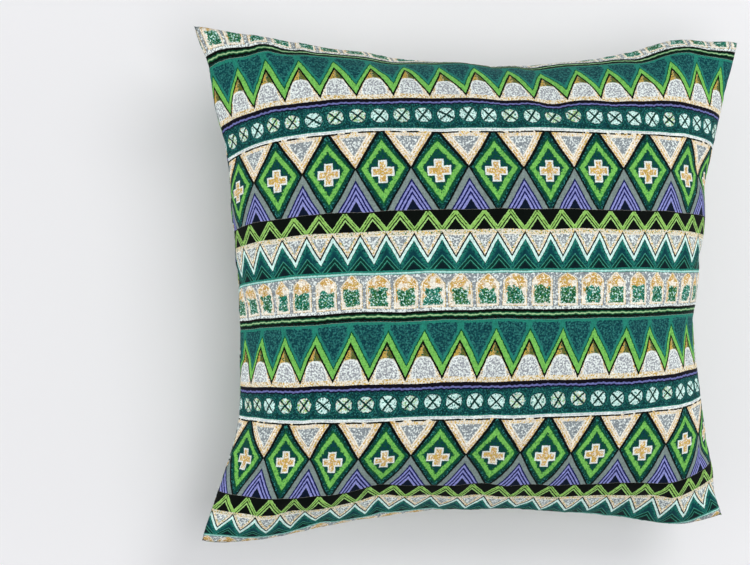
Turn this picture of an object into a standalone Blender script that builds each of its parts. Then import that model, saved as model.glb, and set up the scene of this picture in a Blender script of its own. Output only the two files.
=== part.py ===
"""A filled cushion in its sewn cover, lying on its back.

Everything is in metres with +Z up. The printed front faces up, +Y is the top of the
print, and the origin is the middle of the flat patch that the cushion rests on.
"""

from dataclasses import dataclass
from math import cos, exp, pi, sin, sqrt

import bmesh
import bpy

# The cover, before it is filled
CUT_WIDE = 0.450            # width of each panel, from seam to seam
CUT_TALL = 0.415            # height of each panel, from seam to seam

# The filled form
FRONT_CROWN = 0.088         # the front's highest point above the seam
BACK_CROWN = 0.089          # the back's lowest point below the seam, before it rests
SEAM_HEIGHT = 0.075         # the seam above the surface, with the back pressed flat
PRESS_START = 0.067         # depth at which the back starts to flatten
ROUND_SIDES = 0.71          # 1 turns the cloth evenly round the crown, less is blunter
SEAM_DRAWN = 0.057          # how much more the seam is gathered mid-side than at its ends
TIP_ROUND = 0.002           # how far a corner's tip is turned in
BULGE_FADE = 4              # the higher, the sooner a side's bulges fade towards the crown
DIVISIONS = 44              # cells along each side of a panel

# Small waves where the filling draws the seam short
GATHERS = 9                 # half waves along a side
GATHER_DEPTH = 0.0014
GATHER_REACH = 0.16         # share of the panel over which they fade
SEAM_WAVE = 0.0022          # how far the seam itself wanders up and down

# The cotton
TONE = (0.050, 0.245, 0.200, 1.0)
ROUGHNESS = 0.85


@dataclass(frozen=True)
class Corner:
    """Where one filled corner's tip comes.

    across and up are shares of half the cut panel, and lift is how far the tip stands
    off the seam's height.
    """

    across: float
    up: float
    lift: float


@dataclass(frozen=True)
class Bulge:
    """A small swell of a side, or a dip where its size is below 0.

    place and reach are shares along the side from -1 to 1, and size is how far it comes out.
    """

    place: float
    reach: float
    size: float


@dataclass(frozen=True)
class Side:
    """One seamed side: how far it is drawn in, how square its run is, and its bulges."""

    draw: float
    bend: float
    bulges: tuple[Bulge, ...]


@dataclass(frozen=True)
class Fold:
    """A soft trough, placed and sized in shares of the panel from -1 to 1."""

    across: float
    up: float
    run_across: float
    run_up: float
    width: float
    depth: float


CORNERS = {
    "lower_left": Corner(-1.000, -0.937, -0.004),
    "lower_right": Corner(0.874, -0.913, -0.010),
    "upper_left": Corner(-0.992, 0.984, 0.028),
    "upper_right": Corner(0.978, 0.937, 0.006),
}

SIDES = {
    "left": Side(0.0324, 1.68, (
        Bulge(-0.59, 0.22, -0.0060),
        Bulge(-0.15, 0.23, -0.0047),
        Bulge(0.29, 0.20, 0.0015),
        Bulge(0.68, 0.08, 0.0032),
        Bulge(0.85, 0.05, -0.0020),
    )),
    "right": Side(0.0313, 1.32, (
        Bulge(-0.89, 0.07, -0.0038),
        Bulge(-0.63, 0.11, -0.0008),
        Bulge(-0.22, 0.14, -0.0053),
        Bulge(0.24, 0.16, 0.0039),
        Bulge(0.62, 0.13, 0.0031),
    )),
    "lower": Side(0.0183, 1.04, (
        Bulge(-0.78, 0.16, 0.0065),
        Bulge(-0.51, 0.19, 0.0019),
        Bulge(0.45, 0.27, 0.0058),
        Bulge(0.79, 0.16, 0.0090),
        Bulge(0.95, 0.06, -0.0010),
    )),
    "upper": Side(0.0235, 1.03, (
        Bulge(-0.85, 0.08, -0.0011),
        Bulge(-0.45, 0.23, 0.0028),
        Bulge(-0.04, 0.07, 0.0014),
        Bulge(0.25, 0.27, -0.0033),
        Bulge(0.76, 0.13, 0.0068),
    )),
}

# Folds of each panel: each runs from its place by its run, and fades at both ends
FRONT_FOLDS = (
    Fold(-0.93, 0.93, 0.34, -0.30, 0.075, 0.0045),
    Fold(0.93, 0.92, -0.30, -0.28, 0.070, 0.0040),
    Fold(-0.96, -0.72, 0.30, 0.10, 0.060, 0.0045),
    Fold(-0.70, -0.97, 0.10, 0.26, 0.060, 0.0030),
    Fold(0.94, -0.92, -0.30, 0.26, 0.070, 0.0040),
    Fold(0.97, 0.46, -0.22, -0.05, 0.050, 0.0025),
    Fold(0.20, 0.97, 0.03, -0.20, 0.055, 0.0025),
)

BACK_FOLDS = (
    Fold(-0.93, 0.92, 0.30, -0.30, 0.075, 0.0040),
    Fold(0.92, 0.93, -0.32, -0.30, 0.070, 0.0045),
    Fold(-0.93, -0.92, 0.30, 0.30, 0.075, 0.0040),
    Fold(0.93, -0.93, -0.28, 0.32, 0.070, 0.0040),
    Fold(-0.97, 0.10, 0.22, 0.04, 0.055, 0.0030),
    Fold(0.97, -0.16, -0.22, 0.04, 0.055, 0.0030),
)


def mix(start, end, share):
    """Value between start and end."""
    return start + (end - start) * share


def crown_angle(share):
    """Angle round the crown, in radians, for a share of the panel from its middle."""
    return pi / 2 * (ROUND_SIDES * share + (1 - ROUND_SIDES) * share ** 3)


def seam_share(share):
    """Place along a seam, which is gathered most at the middle of its side."""
    return share * (1 - SEAM_DRAWN) + SEAM_DRAWN * share ** 3


def drawn_in(side, share):
    """How far a side is drawn in at a share of its length."""
    return SIDES[side].draw * cos(pi / 2 * abs(share) ** SIDES[side].bend)


def swell(side, share, nearness):
    """How far a side's bulges bring the cloth out.

    nearness runs from 0 at the panel's middle to 1 at this side, and is below 0 past it.
    """
    total = sum(
        bulge.size * exp(-((share - bulge.place) / bulge.reach) ** 2)
        for bulge in SIDES[side].bulges
    )
    return total * max(nearness, 0.0) ** BULGE_FADE


def seam_x(start, end, up):
    """X of the straight line between two corners."""
    return CUT_WIDE / 2 * mix(CORNERS[start].across, CORNERS[end].across, (up + 1) / 2)


def seam_y(start, end, across):
    """Y of the straight line between two corners."""
    return CUT_TALL / 2 * mix(CORNERS[start].up, CORNERS[end].up, (across + 1) / 2)


def corner_lift(across, up):
    """How far the corners lift the cloth at a place on the panel."""
    low = mix(CORNERS["lower_left"].lift, CORNERS["lower_right"].lift, (across + 1) / 2)
    high = mix(CORNERS["upper_left"].lift, CORNERS["upper_right"].lift, (across + 1) / 2)
    return mix(low, high, (up + 1) / 2) * across * across * up * up


def near_seams(across, up):
    """Nearness to the sides and to the ends, each fading out towards the corners."""
    beside = exp(-(1 - abs(across)) / GATHER_REACH) * cos(pi / 2 * up) ** 2
    along = exp(-(1 - abs(up)) / GATHER_REACH) * cos(pi / 2 * across) ** 2
    return beside, along


def gather_depth(across, up):
    """Small waves that run in from the seam and fade towards the crown."""
    beside, along = near_seams(across, up)
    up_waves = sin(GATHERS * pi * up + 1.7 * sin(3.1 * up + across))
    across_waves = sin(GATHERS * pi * across + 1.9 * sin(2.7 * across - up))
    return GATHER_DEPTH * (beside * up_waves + along * across_waves)


def seam_wander(across, up):
    """Slow rise and fall of the seam along its sides."""
    beside, along = near_seams(across, up)
    return SEAM_WAVE * (beside * sin(4.3 * up + 2 * across) + along * sin(3.7 * across - up))


def fold_depth(folds, across, up):
    """Sum of the folds' depths at a place on the panel."""
    total = 0.0
    for fold in folds:
        length = sqrt(fold.run_across ** 2 + fold.run_up ** 2)
        from_across = across - fold.across
        from_up = up - fold.up
        along = (from_across * fold.run_across + from_up * fold.run_up) / length
        beside = (from_across * fold.run_up - from_up * fold.run_across) / length
        ends = exp(-((along - length / 2) / (length * 0.55)) ** 4)
        total += fold.depth * ends * exp(-(beside / fold.width) ** 2)
    return total


def pressed(depth):
    """Depth below the seam once the surface has pressed the back flat."""
    room = 2 * (SEAM_HEIGHT - PRESS_START)
    past = depth - PRESS_START
    if past <= 0:
        return depth
    if past >= room:
        return SEAM_HEIGHT
    return PRESS_START + past - past * past / (2 * room)


def cushion_point(across, up, front):
    """Place of a point of the cover.

    across and up are shares of the panel from -1 to 1, and front tells the two panels
    apart. Both meet along the seam, where either share is -1 or 1.
    """
    turn_across = max(cos(crown_angle(across)), 0.0)
    turn_up = max(cos(crown_angle(up)), 0.0)
    wide = mix(seam_share(across), sin(crown_angle(across)), turn_up)
    tall = mix(seam_share(up), sin(crown_angle(up)), turn_across)
    left = seam_x("lower_left", "upper_left", up) + drawn_in("left", up)
    right = seam_x("lower_right", "upper_right", up) - drawn_in("right", up)
    lower = seam_y("lower_left", "lower_right", across) + drawn_in("lower", across)
    upper = seam_y("upper_left", "upper_right", across) - drawn_in("upper", across)
    tip = TIP_ROUND * abs(across * up) ** 24
    x = mix(left, right, (wide + 1) / 2) - tip * across
    y = mix(lower, upper, (tall + 1) / 2) - tip * up
    x += swell("right", up, wide) - swell("left", up, -wide)
    y += swell("upper", across, tall) - swell("lower", across, -tall)

    spread = turn_across ** 2 + turn_up ** 2 - (turn_across * turn_up) ** 2
    rise = turn_across * turn_up / sqrt(max(spread, 1e-9))
    fade = min(rise * 4, 1.0)
    lift = corner_lift(across, up) + seam_wander(across, up)
    if front:
        dent = fold_depth(FRONT_FOLDS, across, up) + gather_depth(across, up)
        return (x, y, SEAM_HEIGHT + lift + FRONT_CROWN * rise - dent * fade)
    dent = fold_depth(BACK_FOLDS, across, up) - gather_depth(across, up)
    return (x, y, SEAM_HEIGHT - pressed(BACK_CROWN * rise - dent * fade - lift))


def panel_points(shape, front, seam):
    """Points of one panel's grid, which takes its rim from a seam that is there."""
    points = {}
    for row in range(DIVISIONS + 1):
        for column in range(DIVISIONS + 1):
            on_seam = row in (0, DIVISIONS) or column in (0, DIVISIONS)
            if on_seam and seam:
                points[row, column] = seam[row, column]
                continue
            across = 2 * column / DIVISIONS - 1
            up = 2 * row / DIVISIONS - 1
            points[row, column] = shape.verts.new(cushion_point(across, up, front))
    return points


def cell_triangles(row, column):
    """Two triangles of a cell, split along the line that runs out to the nearest corner."""
    low_left, low_right = (row, column), (row, column + 1)
    high_right, high_left = (row + 1, column + 1), (row + 1, column)
    upper_half = 2 * row + 1 > DIVISIONS
    right_half = 2 * column + 1 > DIVISIONS
    if upper_half == right_half:
        return (low_left, low_right, high_right), (low_left, high_right, high_left)
    return (low_left, low_right, high_left), (low_right, high_right, high_left)


def cushion_mesh():
    """Closed mesh of the two panels, sharing their points along the seam."""
    shape = bmesh.new()
    front_points = panel_points(shape, True, None)
    back_points = panel_points(shape, False, front_points)
    for points, front in ((front_points, True), (back_points, False)):
        for row in range(DIVISIONS):
            for column in range(DIVISIONS):
                for triangle in cell_triangles(row, column):
                    corners = [points[place] for place in triangle]
                    shape.faces.new(corners if front else corners[::-1])
    # The middle of the box comes over the origin
    xs = [point.co.x for point in shape.verts]
    ys = [point.co.y for point in shape.verts]
    middle = ((min(xs) + max(xs)) / 2, (min(ys) + max(ys)) / 2, 0.0)
    bmesh.ops.translate(shape, vec=[-value for value in middle], verts=shape.verts)
    mesh = bpy.data.meshes.new("cushion_cover")
    shape.to_mesh(mesh)
    shape.free()
    mesh.shade_smooth()
    return mesh


def cotton():
    """Printed cotton in its middle tone."""
    material = bpy.data.materials.new("printed_cotton")
    material.use_nodes = True
    shader = material.node_tree.nodes["Principled BSDF"]
    shader.inputs["Base Color"].default_value = TONE
    shader.inputs["Roughness"].default_value = ROUGHNESS
    shader.inputs["Metallic"].default_value = 0.0
    return material


def main():
    """Clear the file and build the cushion."""
    for old in list(bpy.data.objects):
        bpy.data.objects.remove(old, do_unlink=True)
    cushion = bpy.data.objects.new("cushion_cover", cushion_mesh())
    cushion.data.materials.append(cotton())
    bpy.context.scene.collection.objects.link(cushion)


main()
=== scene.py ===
"""A filled cushion in its printed cotton cover, lying on its back.

The cover is sewn from two panels with one plain seam all round. Shapes are in metres in the
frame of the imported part, with +Z up. The print is drawn in millimetres on the flat cloth.
"""

from __future__ import annotations

import logging
from dataclasses import dataclass
from enum import Enum
from math import pi, radians

import bpy
import numpy as np
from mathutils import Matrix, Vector, noise


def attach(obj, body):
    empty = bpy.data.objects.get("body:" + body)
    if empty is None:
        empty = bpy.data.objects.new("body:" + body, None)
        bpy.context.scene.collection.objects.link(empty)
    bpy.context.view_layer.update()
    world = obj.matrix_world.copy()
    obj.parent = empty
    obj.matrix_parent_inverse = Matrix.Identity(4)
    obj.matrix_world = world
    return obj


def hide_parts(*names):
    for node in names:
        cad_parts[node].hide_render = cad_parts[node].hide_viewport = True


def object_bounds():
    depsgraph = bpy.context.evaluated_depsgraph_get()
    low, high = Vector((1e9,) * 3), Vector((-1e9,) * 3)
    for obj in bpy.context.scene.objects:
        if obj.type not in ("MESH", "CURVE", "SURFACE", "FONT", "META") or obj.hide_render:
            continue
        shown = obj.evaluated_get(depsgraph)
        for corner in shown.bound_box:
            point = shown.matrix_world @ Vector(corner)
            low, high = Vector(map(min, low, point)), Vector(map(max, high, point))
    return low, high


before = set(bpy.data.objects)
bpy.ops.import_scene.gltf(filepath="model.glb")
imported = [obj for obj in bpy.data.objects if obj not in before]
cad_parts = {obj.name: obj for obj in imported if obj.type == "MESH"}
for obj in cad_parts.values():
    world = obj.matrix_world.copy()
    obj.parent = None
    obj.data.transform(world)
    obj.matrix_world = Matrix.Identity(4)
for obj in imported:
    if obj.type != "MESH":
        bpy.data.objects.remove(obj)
CAD_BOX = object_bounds()

CLOTH_PLAN = "cloth_plan"   # the map that lays the mesh out on the flat cloth
SEAM_GAP = "seam_gap"       # each point's distance from the seam, in mm
Grids = tuple[np.ndarray, np.ndarray]       # the front panel's grid and the back panel's

LOG = logging.getLogger("cushion")
MM = 0.001
SOFT_EDGE = 0.28            # mm over which one printed colour gives way to the next
FLECK_EDGE = 0.05           # the same for a fleck, in shares of the noise's range


class Dye(Enum):
    """Colours of the print, as red, green and blue from 0 to 255."""

    BLACK = (6, 12, 8)
    INK = (14, 12, 24)
    NAVY = (18, 26, 84)
    DEEP_NAVY = (10, 22, 44)
    LAVENDER = (146, 150, 212)
    DULL_LAVENDER = (112, 116, 174)
    SEA_GREEN = (38, 130, 112)
    DEEP_SEA = (10, 62, 70)
    SEA_FLECK = (50, 126, 118)
    DARK_GREEN = (14, 82, 50)
    DEEP_BOTTLE = (8, 32, 36)
    BOTTLE = (8, 52, 46)
    LEAF = (124, 196, 92)
    DEEP_LEAF = (82, 162, 74)
    LEAF_LIGHT = (168, 216, 126)
    PALE_LEAF = (164, 204, 150)
    OLIVE_LIGHT = (148, 198, 98)
    MINT = (214, 248, 240)
    AQUA = (176, 228, 220)
    WHITE = (236, 244, 240)
    CREAM = (240, 234, 216)
    BLUSH = (236, 220, 202)
    IVORY = (248, 242, 226)
    GOLD = (210, 174, 84)
    RUST = (214, 160, 90)
    MOSS = (64, 118, 58)
    SEA_LIGHT = (66, 154, 130)
    OLIVE = (112, 110, 48)
    STONE = (142, 150, 154)
    SLATE = (130, 146, 142)
    SLATE_PALE = (196, 206, 214)
    PEBBLE = (162, 166, 172)

    @property
    def linear(self) -> tuple[float, float, float, float]:
        """The colour as the shader takes it.

        Returns:
            Red, green and blue in linear light, and full cover.
        """
        shares = (value / 255 for value in self.value)
        light = (s / 12.92 if s <= 0.04045 else ((s + 0.055) / 1.055) ** 2.4 for s in shares)
        return (*light, 1.0)


class Field:
    """One number for each point of the cloth, worked out by shader nodes."""

    def __init__(self, tree: bpy.types.NodeTree, socket: bpy.types.NodeSocket) -> None:
        """Keep the socket that gives the number.

        Args:
            tree: The material's node tree.
            socket: The output that holds the number.
        """
        self.tree = tree
        self.socket = socket

    def math(self, operation: str, *others: Field | float, clamp: bool = False) -> Field:
        """Put this number and others through one Math node.

        Args:
            operation: The Math node's operation.
            others: Its other inputs, in order.
            clamp: Whether the result is kept from 0 to 1.

        Returns:
            The node's result.
        """
        node = self.tree.nodes.new("ShaderNodeMath")
        node.operation = operation
        node.use_clamp = clamp
        for socket, term in zip(node.inputs, (self, *others)):
            if isinstance(term, Field):
                self.tree.links.new(term.socket, socket)
            else:
                socket.default_value = term
        return Field(self.tree, node.outputs[0])

    def __add__(self, other: Field | float) -> Field:
        """Sum."""
        return self.math("ADD", other)

    def __sub__(self, other: Field | float) -> Field:
        """Difference."""
        return self.math("SUBTRACT", other)

    def __rsub__(self, other: float) -> Field:
        """Difference from a number on the left."""
        return self.math("MULTIPLY_ADD", -1.0, other)

    def __mul__(self, other: Field | float) -> Field:
        """Product."""
        return self.math("MULTIPLY", other)

    def __truediv__(self, other: float) -> Field:
        """Quotient by a plain number."""
        return self.math("MULTIPLY", 1.0 / other)

    def __abs__(self) -> Field:
        """Size without the sign."""
        return self.math("ABSOLUTE")

    def above(self, edge: float, soft: float = SOFT_EDGE) -> Field:
        """1 where the number is over an edge, 0 where it is under it, with a soft change."""
        return self.math("MULTIPLY_ADD", 1 / soft, 0.5 - edge / soft, clamp=True)

    def below(self, edge: float, soft: float = SOFT_EDGE) -> Field:
        """1 where the number is under an edge, 0 where it is over it, with a soft change."""
        return self.math("MULTIPLY_ADD", -1 / soft, 0.5 + edge / soft, clamp=True)

    def near(self, middle: float, reach: float, soft: float = SOFT_EDGE) -> Field:
        """1 within a reach of a middle value."""
        return abs(self - middle).below(reach, soft)

    def between(self, low: float, high: float, soft: float = SOFT_EDGE) -> Field:
        """1 between two values."""
        return self.near((low + high) / 2, (high - low) / 2, soft)

    def turned(self, run: float, phase: float = 0.0) -> Field:
        """Sine of the number, with a wave of the given run."""
        return self.math("MULTIPLY_ADD", 2 * pi / run, phase).math("SINE")

    def swing(self, width: float) -> Field:
        """The number less a half, times a width, so that a noise swings evenly to both sides."""
        return (self - 0.5) * width

    def least(self, other: Field | float) -> Field:
        """The smaller of two."""
        return self.math("MINIMUM", other)

    def most(self, other: Field | float) -> Field:
        """The larger of two."""
        return self.math("MAXIMUM", other)


class Print:
    """The drawing of the cloth's pattern, and what each of its bands draws with."""

    WOBBLE = 0.9            # mm that a drawn line strays over a few centimetres
    ROUGHNESS = 0.45        # mm that it strays over a millimetre or two
    SPREAD = 0.42           # how widely the speckle's values lie about their middle

    def __init__(self, tree: bpy.types.NodeTree, place: bpy.types.NodeSocket, row: float) -> None:
        """Set out the cloth's coordinates and the grain that all bands share.

        Args:
            tree: The material's node tree.
            place: The place on the flat cloth, in millimetres.
            row: Height of one repeat of all the bands.
        """
        self.tree = tree
        self.place = place
        sway = self.noise(scale=0.028, detail=1.0, seed=3.0)
        rough = self.noise(scale=0.62, detail=1.0, seed=11.0)
        apart = self.split(place)
        sways = self.split(sway)
        roughs = self.split(rough)
        self.flat_x = apart[0]
        self.flat_y = apart[1]
        across = sways[0].swing(4 * self.WOBBLE) + roughs[0].swing(2 * self.ROUGHNESS)
        upward = sways[1].swing(4 * self.WOBBLE) + roughs[1].swing(2 * self.ROUGHNESS)
        self.x = apart[0] + across
        self.y = (apart[1] + upward).math("FLOORED_MODULO", row)
        self.speck = self.split(self.noise(scale=0.72, detail=2.0, seed=23.0))
        self.grain = self.split(self.noise(scale=0.95, detail=1.0, seed=53.0))
        self.blot = self.split(self.noise(scale=0.16, detail=2.0, seed=37.0))
        self.colour: bpy.types.NodeSocket | tuple = Dye.CREAM.linear

    def noise(self, scale: float, detail: float, seed: float,
              stretch: tuple[float, float] = (1.0, 1.0)) -> bpy.types.NodeSocket:
        """Three even noises in one colour.

        Args:
            scale: Bumps for each millimetre.
            detail: How many finer layers are added.
            seed: Which slice of the noise is taken.
            stretch: How far the bumps are drawn out across and up the cloth.

        Returns:
            The colour that holds them.
        """
        node = self.tree.nodes.new("ShaderNodeTexNoise")
        node.noise_dimensions = "4D"
        node.inputs["W"].default_value = seed
        node.inputs["Scale"].default_value = scale
        node.inputs["Detail"].default_value = detail
        place = self.place
        if stretch != (1.0, 1.0):
            drawn = self.tree.nodes.new("ShaderNodeVectorMath")
            drawn.operation = "DIVIDE"
            drawn.inputs[1].default_value = (*stretch, 1.0)
            self.tree.links.new(place, drawn.inputs[0])
            place = drawn.outputs[0]
        self.tree.links.new(place, node.inputs["Vector"])
        return node.outputs["Color"]

    def split(self, socket: bpy.types.NodeSocket) -> list[Field]:
        """Take a colour or a place apart.

        Args:
            socket: The output that gives it.

        Returns:
            Its three parts.
        """
        node = self.tree.nodes.new("ShaderNodeSeparateXYZ")
        self.tree.links.new(socket, node.inputs[0])
        return [Field(self.tree, output) for output in node.outputs]

    def each(self, number: Field) -> list[Field]:
        """Three even random numbers for each whole number, such as a motif's place in line.

        Args:
            number: The whole number.

        Returns:
            The three numbers, each from 0 to 1.
        """
        node = self.tree.nodes.new("ShaderNodeTexWhiteNoise")
        node.noise_dimensions = "1D"
        self.tree.links.new(number.socket, node.inputs["W"])
        return self.split(node.outputs["Color"])

    def start(self, dye: Dye) -> None:
        """Begin a band in one colour."""
        self.colour = dye.linear

    def mixed(self, share: Field, under: object, over: object) -> bpy.types.NodeSocket:
        """Mix two colours, each a socket or plain values.

        Args:
            share: How much of the second shows.
            under: The first colour.
            over: The second colour.

        Returns:
            The mixed colour.
        """
        node = self.tree.nodes.new("ShaderNodeMix")
        node.data_type = "RGBA"
        self.tree.links.new(share.socket, node.inputs[0])
        for socket, value in ((node.inputs[6], under), (node.inputs[7], over)):
            if isinstance(value, bpy.types.NodeSocket):
                self.tree.links.new(value, socket)
            else:
                socket.default_value = value
        return node.outputs[2]

    def over(self, share: Field, dye: Dye) -> None:
        """Print one colour over what is there."""
        self.colour = self.mixed(share, self.colour, dye.linear)

    def lighten(self, factor: Field) -> None:
        """Make what is there lighter or darker.

        Args:
            factor: What its colour is multiplied by.
        """
        node = self.tree.nodes.new("ShaderNodeVectorMath")
        node.operation = "SCALE"
        self.tree.links.new(self.colour, node.inputs[0])
        self.tree.links.new(factor.socket, node.inputs["Scale"])
        self.colour = node.outputs[0]

    def wavy(self, waves: tuple[tuple[float, float], ...]) -> Field:
        """Height on the cloth, stirred by waves along the row.

        Args:
            waves: The run and the height of each wave.

        Returns:
            The stirred height.
        """
        place = self.y
        for run, height in waves:
            place = place - self.x.turned(run) * height
        return place

    def spots(self, share: Field, mottle: Field, edge: float, dye: Dye,
              soft: float = FLECK_EDGE) -> None:
        """Print spots of one colour over what is there.

        Args:
            share: Where they may come.
            mottle: The speckle, grain or blots that shape them.
            edge: The mottle's value over which a spot shows.
            dye: Their colour.
            soft: How gently they fade at their edges.
        """
        self.over(share * mottle.above(edge, soft), dye)

    def flecked(self, share: Field, base: Dye, fleck: Dye, part: float, channel: int = 0,
                soft: float = FLECK_EDGE) -> None:
        """Print a colour that is flecked with another.

        Args:
            share: Where it is printed.
            base: The main colour.
            fleck: The flecks' colour.
            part: Roughly how much of the place the flecks take, from 0 to 1.
            channel: Which of the three speckles is used.
            soft: How gently the flecks fade into the main colour.
        """
        flecks = self.speck[channel].above(0.5 + (0.5 - part) * self.SPREAD, soft)
        self.colour = self.mixed(share, self.colour, self.mixed(flecks, base.linear, fleck.linear))


@dataclass(frozen=True)
class Spacing:
    """Motifs in a row, spaced by hand, so that they drift from an even step."""

    pitch: float
    start: float            # x of one motif's middle
    drift: float            # furthest that a motif strays
    run: float              # length of the drift's wave
    phase: float = 0.0

    def line(self, art: Print) -> Field:
        """Place along the row, with the drift taken out."""
        return art.x - art.x.turned(self.run, self.phase) * self.drift - self.start

    def from_middle(self, line: Field, shift: float = 0.0) -> Field:
        """Signed distance from the middle of the nearest motif."""
        return (line - shift).math("WRAP", -self.pitch / 2, self.pitch / 2)

    def number(self, line: Field) -> Field:
        """Which motif in the row is nearest."""
        return (line / self.pitch).math("ROUND")

    def zigzag(self, line: Field, foot: float, peak: float, shift: float = 0.0) -> Field:
        """Height of a zigzag with its peaks at the motifs' middles."""
        slope = (peak - foot) / (self.pitch / 2)
        return abs(self.from_middle(line, shift)).math("MULTIPLY_ADD", -slope, peak)


# The mint and the black band share one spacing
ZIGZAG_ROW = Spacing(pitch=21.0, start=4.3, drift=1.8, run=183.0, phase=0.46)


@dataclass(frozen=True)
class Band:
    """One band of the print, between two heights on the cloth."""

    low: float
    high: float

    def draw(self, art: Print) -> None:
        """Draw the band, and keep what is there below and above it.

        Args:
            art: The drawing.
        """
        under = art.colour
        self.fill(art)
        art.colour = art.mixed(art.y.between(self.low, self.high), under, art.colour)

    def fill(self, art: Print) -> None:
        """Draw the band's motifs, as each kind of band has them."""
        raise NotImplementedError


@dataclass(frozen=True)
class PairOfLines(Band):
    """Two black lines with a light wavy line between them."""

    low: float = 0.0
    high: float = 7.7
    light: float = 4.1              # height of the light line's middle
    light_reach: float = 0.52
    halo: float = 0.9               # dark green beside the light line
    foot: float = 1.3               # height of the mottled foot
    waves: tuple[tuple[float, float], ...] = ((5.6, 0.2), (13.0, 0.2))

    def fill(self, art: Print) -> None:
        """Draw the band's motifs.

        Args:
            art: The drawing.
        """
        art.start(Dye.BLACK)
        wave = art.wavy(self.waves)
        art.over(wave.near(self.light, self.light_reach + self.halo), Dye.DARK_GREEN)
        art.spots(wave.below(self.foot), art.speck[1], 0.46, Dye.BOTTLE)
        art.over(wave.near(self.light, self.light_reach), Dye.PALE_LEAF)


@dataclass(frozen=True)
class ArchBand(Band):
    """Small arched windows on a grey speckled ground."""

    low: float = 7.7
    high: float = 38.3
    spacing: Spacing = Spacing(pitch=20.44, start=-2.9, drift=3.4, run=298.0)
    half_width: float = 8.5
    foot: float = 10.2
    shoulder: float = 28.6
    tip: float = 36.6
    outline: float = 1.25
    width_spread: float = 1.6       # how far the arches differ in width
    pointed_share: float = 0.40     # how many of the arches have a pointed top
    roundness: float = 2.2          # the power that rounds the other tops
    gold_rise: float = 0.012        # how the gold thickens with each mm of height
    gold_lean: float = 0.007        # and with each mm to one side
    block_middle: float = 18.4
    block_half_width: float = 6.1
    block_half_height: float = 6.6
    block_shift: float = 0.4
    ragged: tuple[float, float] = (6.0, 9.0)        # mm by which the block's edge strays
    line_low: float = 36.9          # the pale line along the top
    line_rim: float = 0.5

    def fill(self, art: Print) -> None:
        """Draw the band's motifs.

        Args:
            art: The drawing.
        """
        art.start(Dye.STONE)
        art.over(art.speck[0].above(0.55, 0.05), Dye.WHITE)
        art.spots(art.y.below(self.foot - 0.3, 0.6), art.grain[1], 0.49, Dye.WHITE)
        line = self.spacing.line(art)
        off = self.spacing.from_middle(line)
        chance = art.each(self.spacing.number(line))
        beside = abs(off) + chance[0].swing(self.width_spread)
        # The top narrows as an arch: a round one where the chance is high, else a pointed one
        top = self.tip - self.shoulder
        rise = (art.y - self.shoulder).most(0.0)
        round_top = (rise / top).math("POWER", self.roundness) * self.half_width
        pointed = rise * (self.half_width * 0.9 / top)
        kind = chance[1].above(self.pointed_share, 0.3)
        narrowed = round_top * kind + pointed * (1.0 - kind)
        inside = (self.half_width - beside - narrowed).least(art.y - self.foot)
        art.over(inside.above(0.0), Dye.IVORY)
        art.spots(inside.between(-0.1, 0.5), art.grain[0], 0.5, Dye.GOLD)
        core = inside.above(self.outline)
        art.flecked(core, Dye.IVORY, Dye.BLUSH, 0.34, 1)
        # Gold flecks gather in the arch's top and run down one side
        gold = (art.y - self.block_middle - 5.5) * self.gold_rise
        gold = gold - off * self.gold_lean + chance[2] * 0.08
        gold = gold.least(0.12)
        patch = core * (gold + art.blot[0]).above(0.55, 0.08)
        art.spots(patch, art.speck[2], 0.40, Dye.GOLD, 0.06)
        art.spots(patch, art.grain[0], 0.55, Dye.RUST, 0.06)
        art.spots(core, art.grain[1], 0.60, Dye.IVORY, 0.06)
        self.fill_block(art, off, chance[2], inside)
        art.over(art.y.between(self.line_low - self.line_rim, self.high), Dye.SEA_GREEN)
        art.over(art.y.between(self.line_low, self.high - 0.1), Dye.AQUA)

    def fill_block(self, art: Print, off: Field, chance: Field, inside: Field) -> None:
        """Draw the ragged green block in an arch's lower half.

        Args:
            art: The drawing.
            off: Distance from the arch's middle along the row.
            chance: The arch's own random number.
            inside: Distance inside the arch's edge.
        """
        beside = abs(off - self.block_shift) - self.block_half_width
        beyond = beside.most(abs(art.y - self.block_middle) - self.block_half_height)
        fine, coarse = self.ragged
        beyond = beyond + art.speck[0].swing(fine) + art.blot[1].swing(coarse)
        block = beyond.below(0.0, 0.5) * inside.above(self.outline + 0.5)
        art.over(block, Dye.SEA_GREEN)
        art.spots(block, art.speck[1] + chance * 0.16, 0.59, Dye.MOSS)
        art.spots(block, art.speck[2], 0.56, Dye.MINT)
        art.spots(block, art.speck[0], 0.54, Dye.DARK_GREEN)


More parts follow.
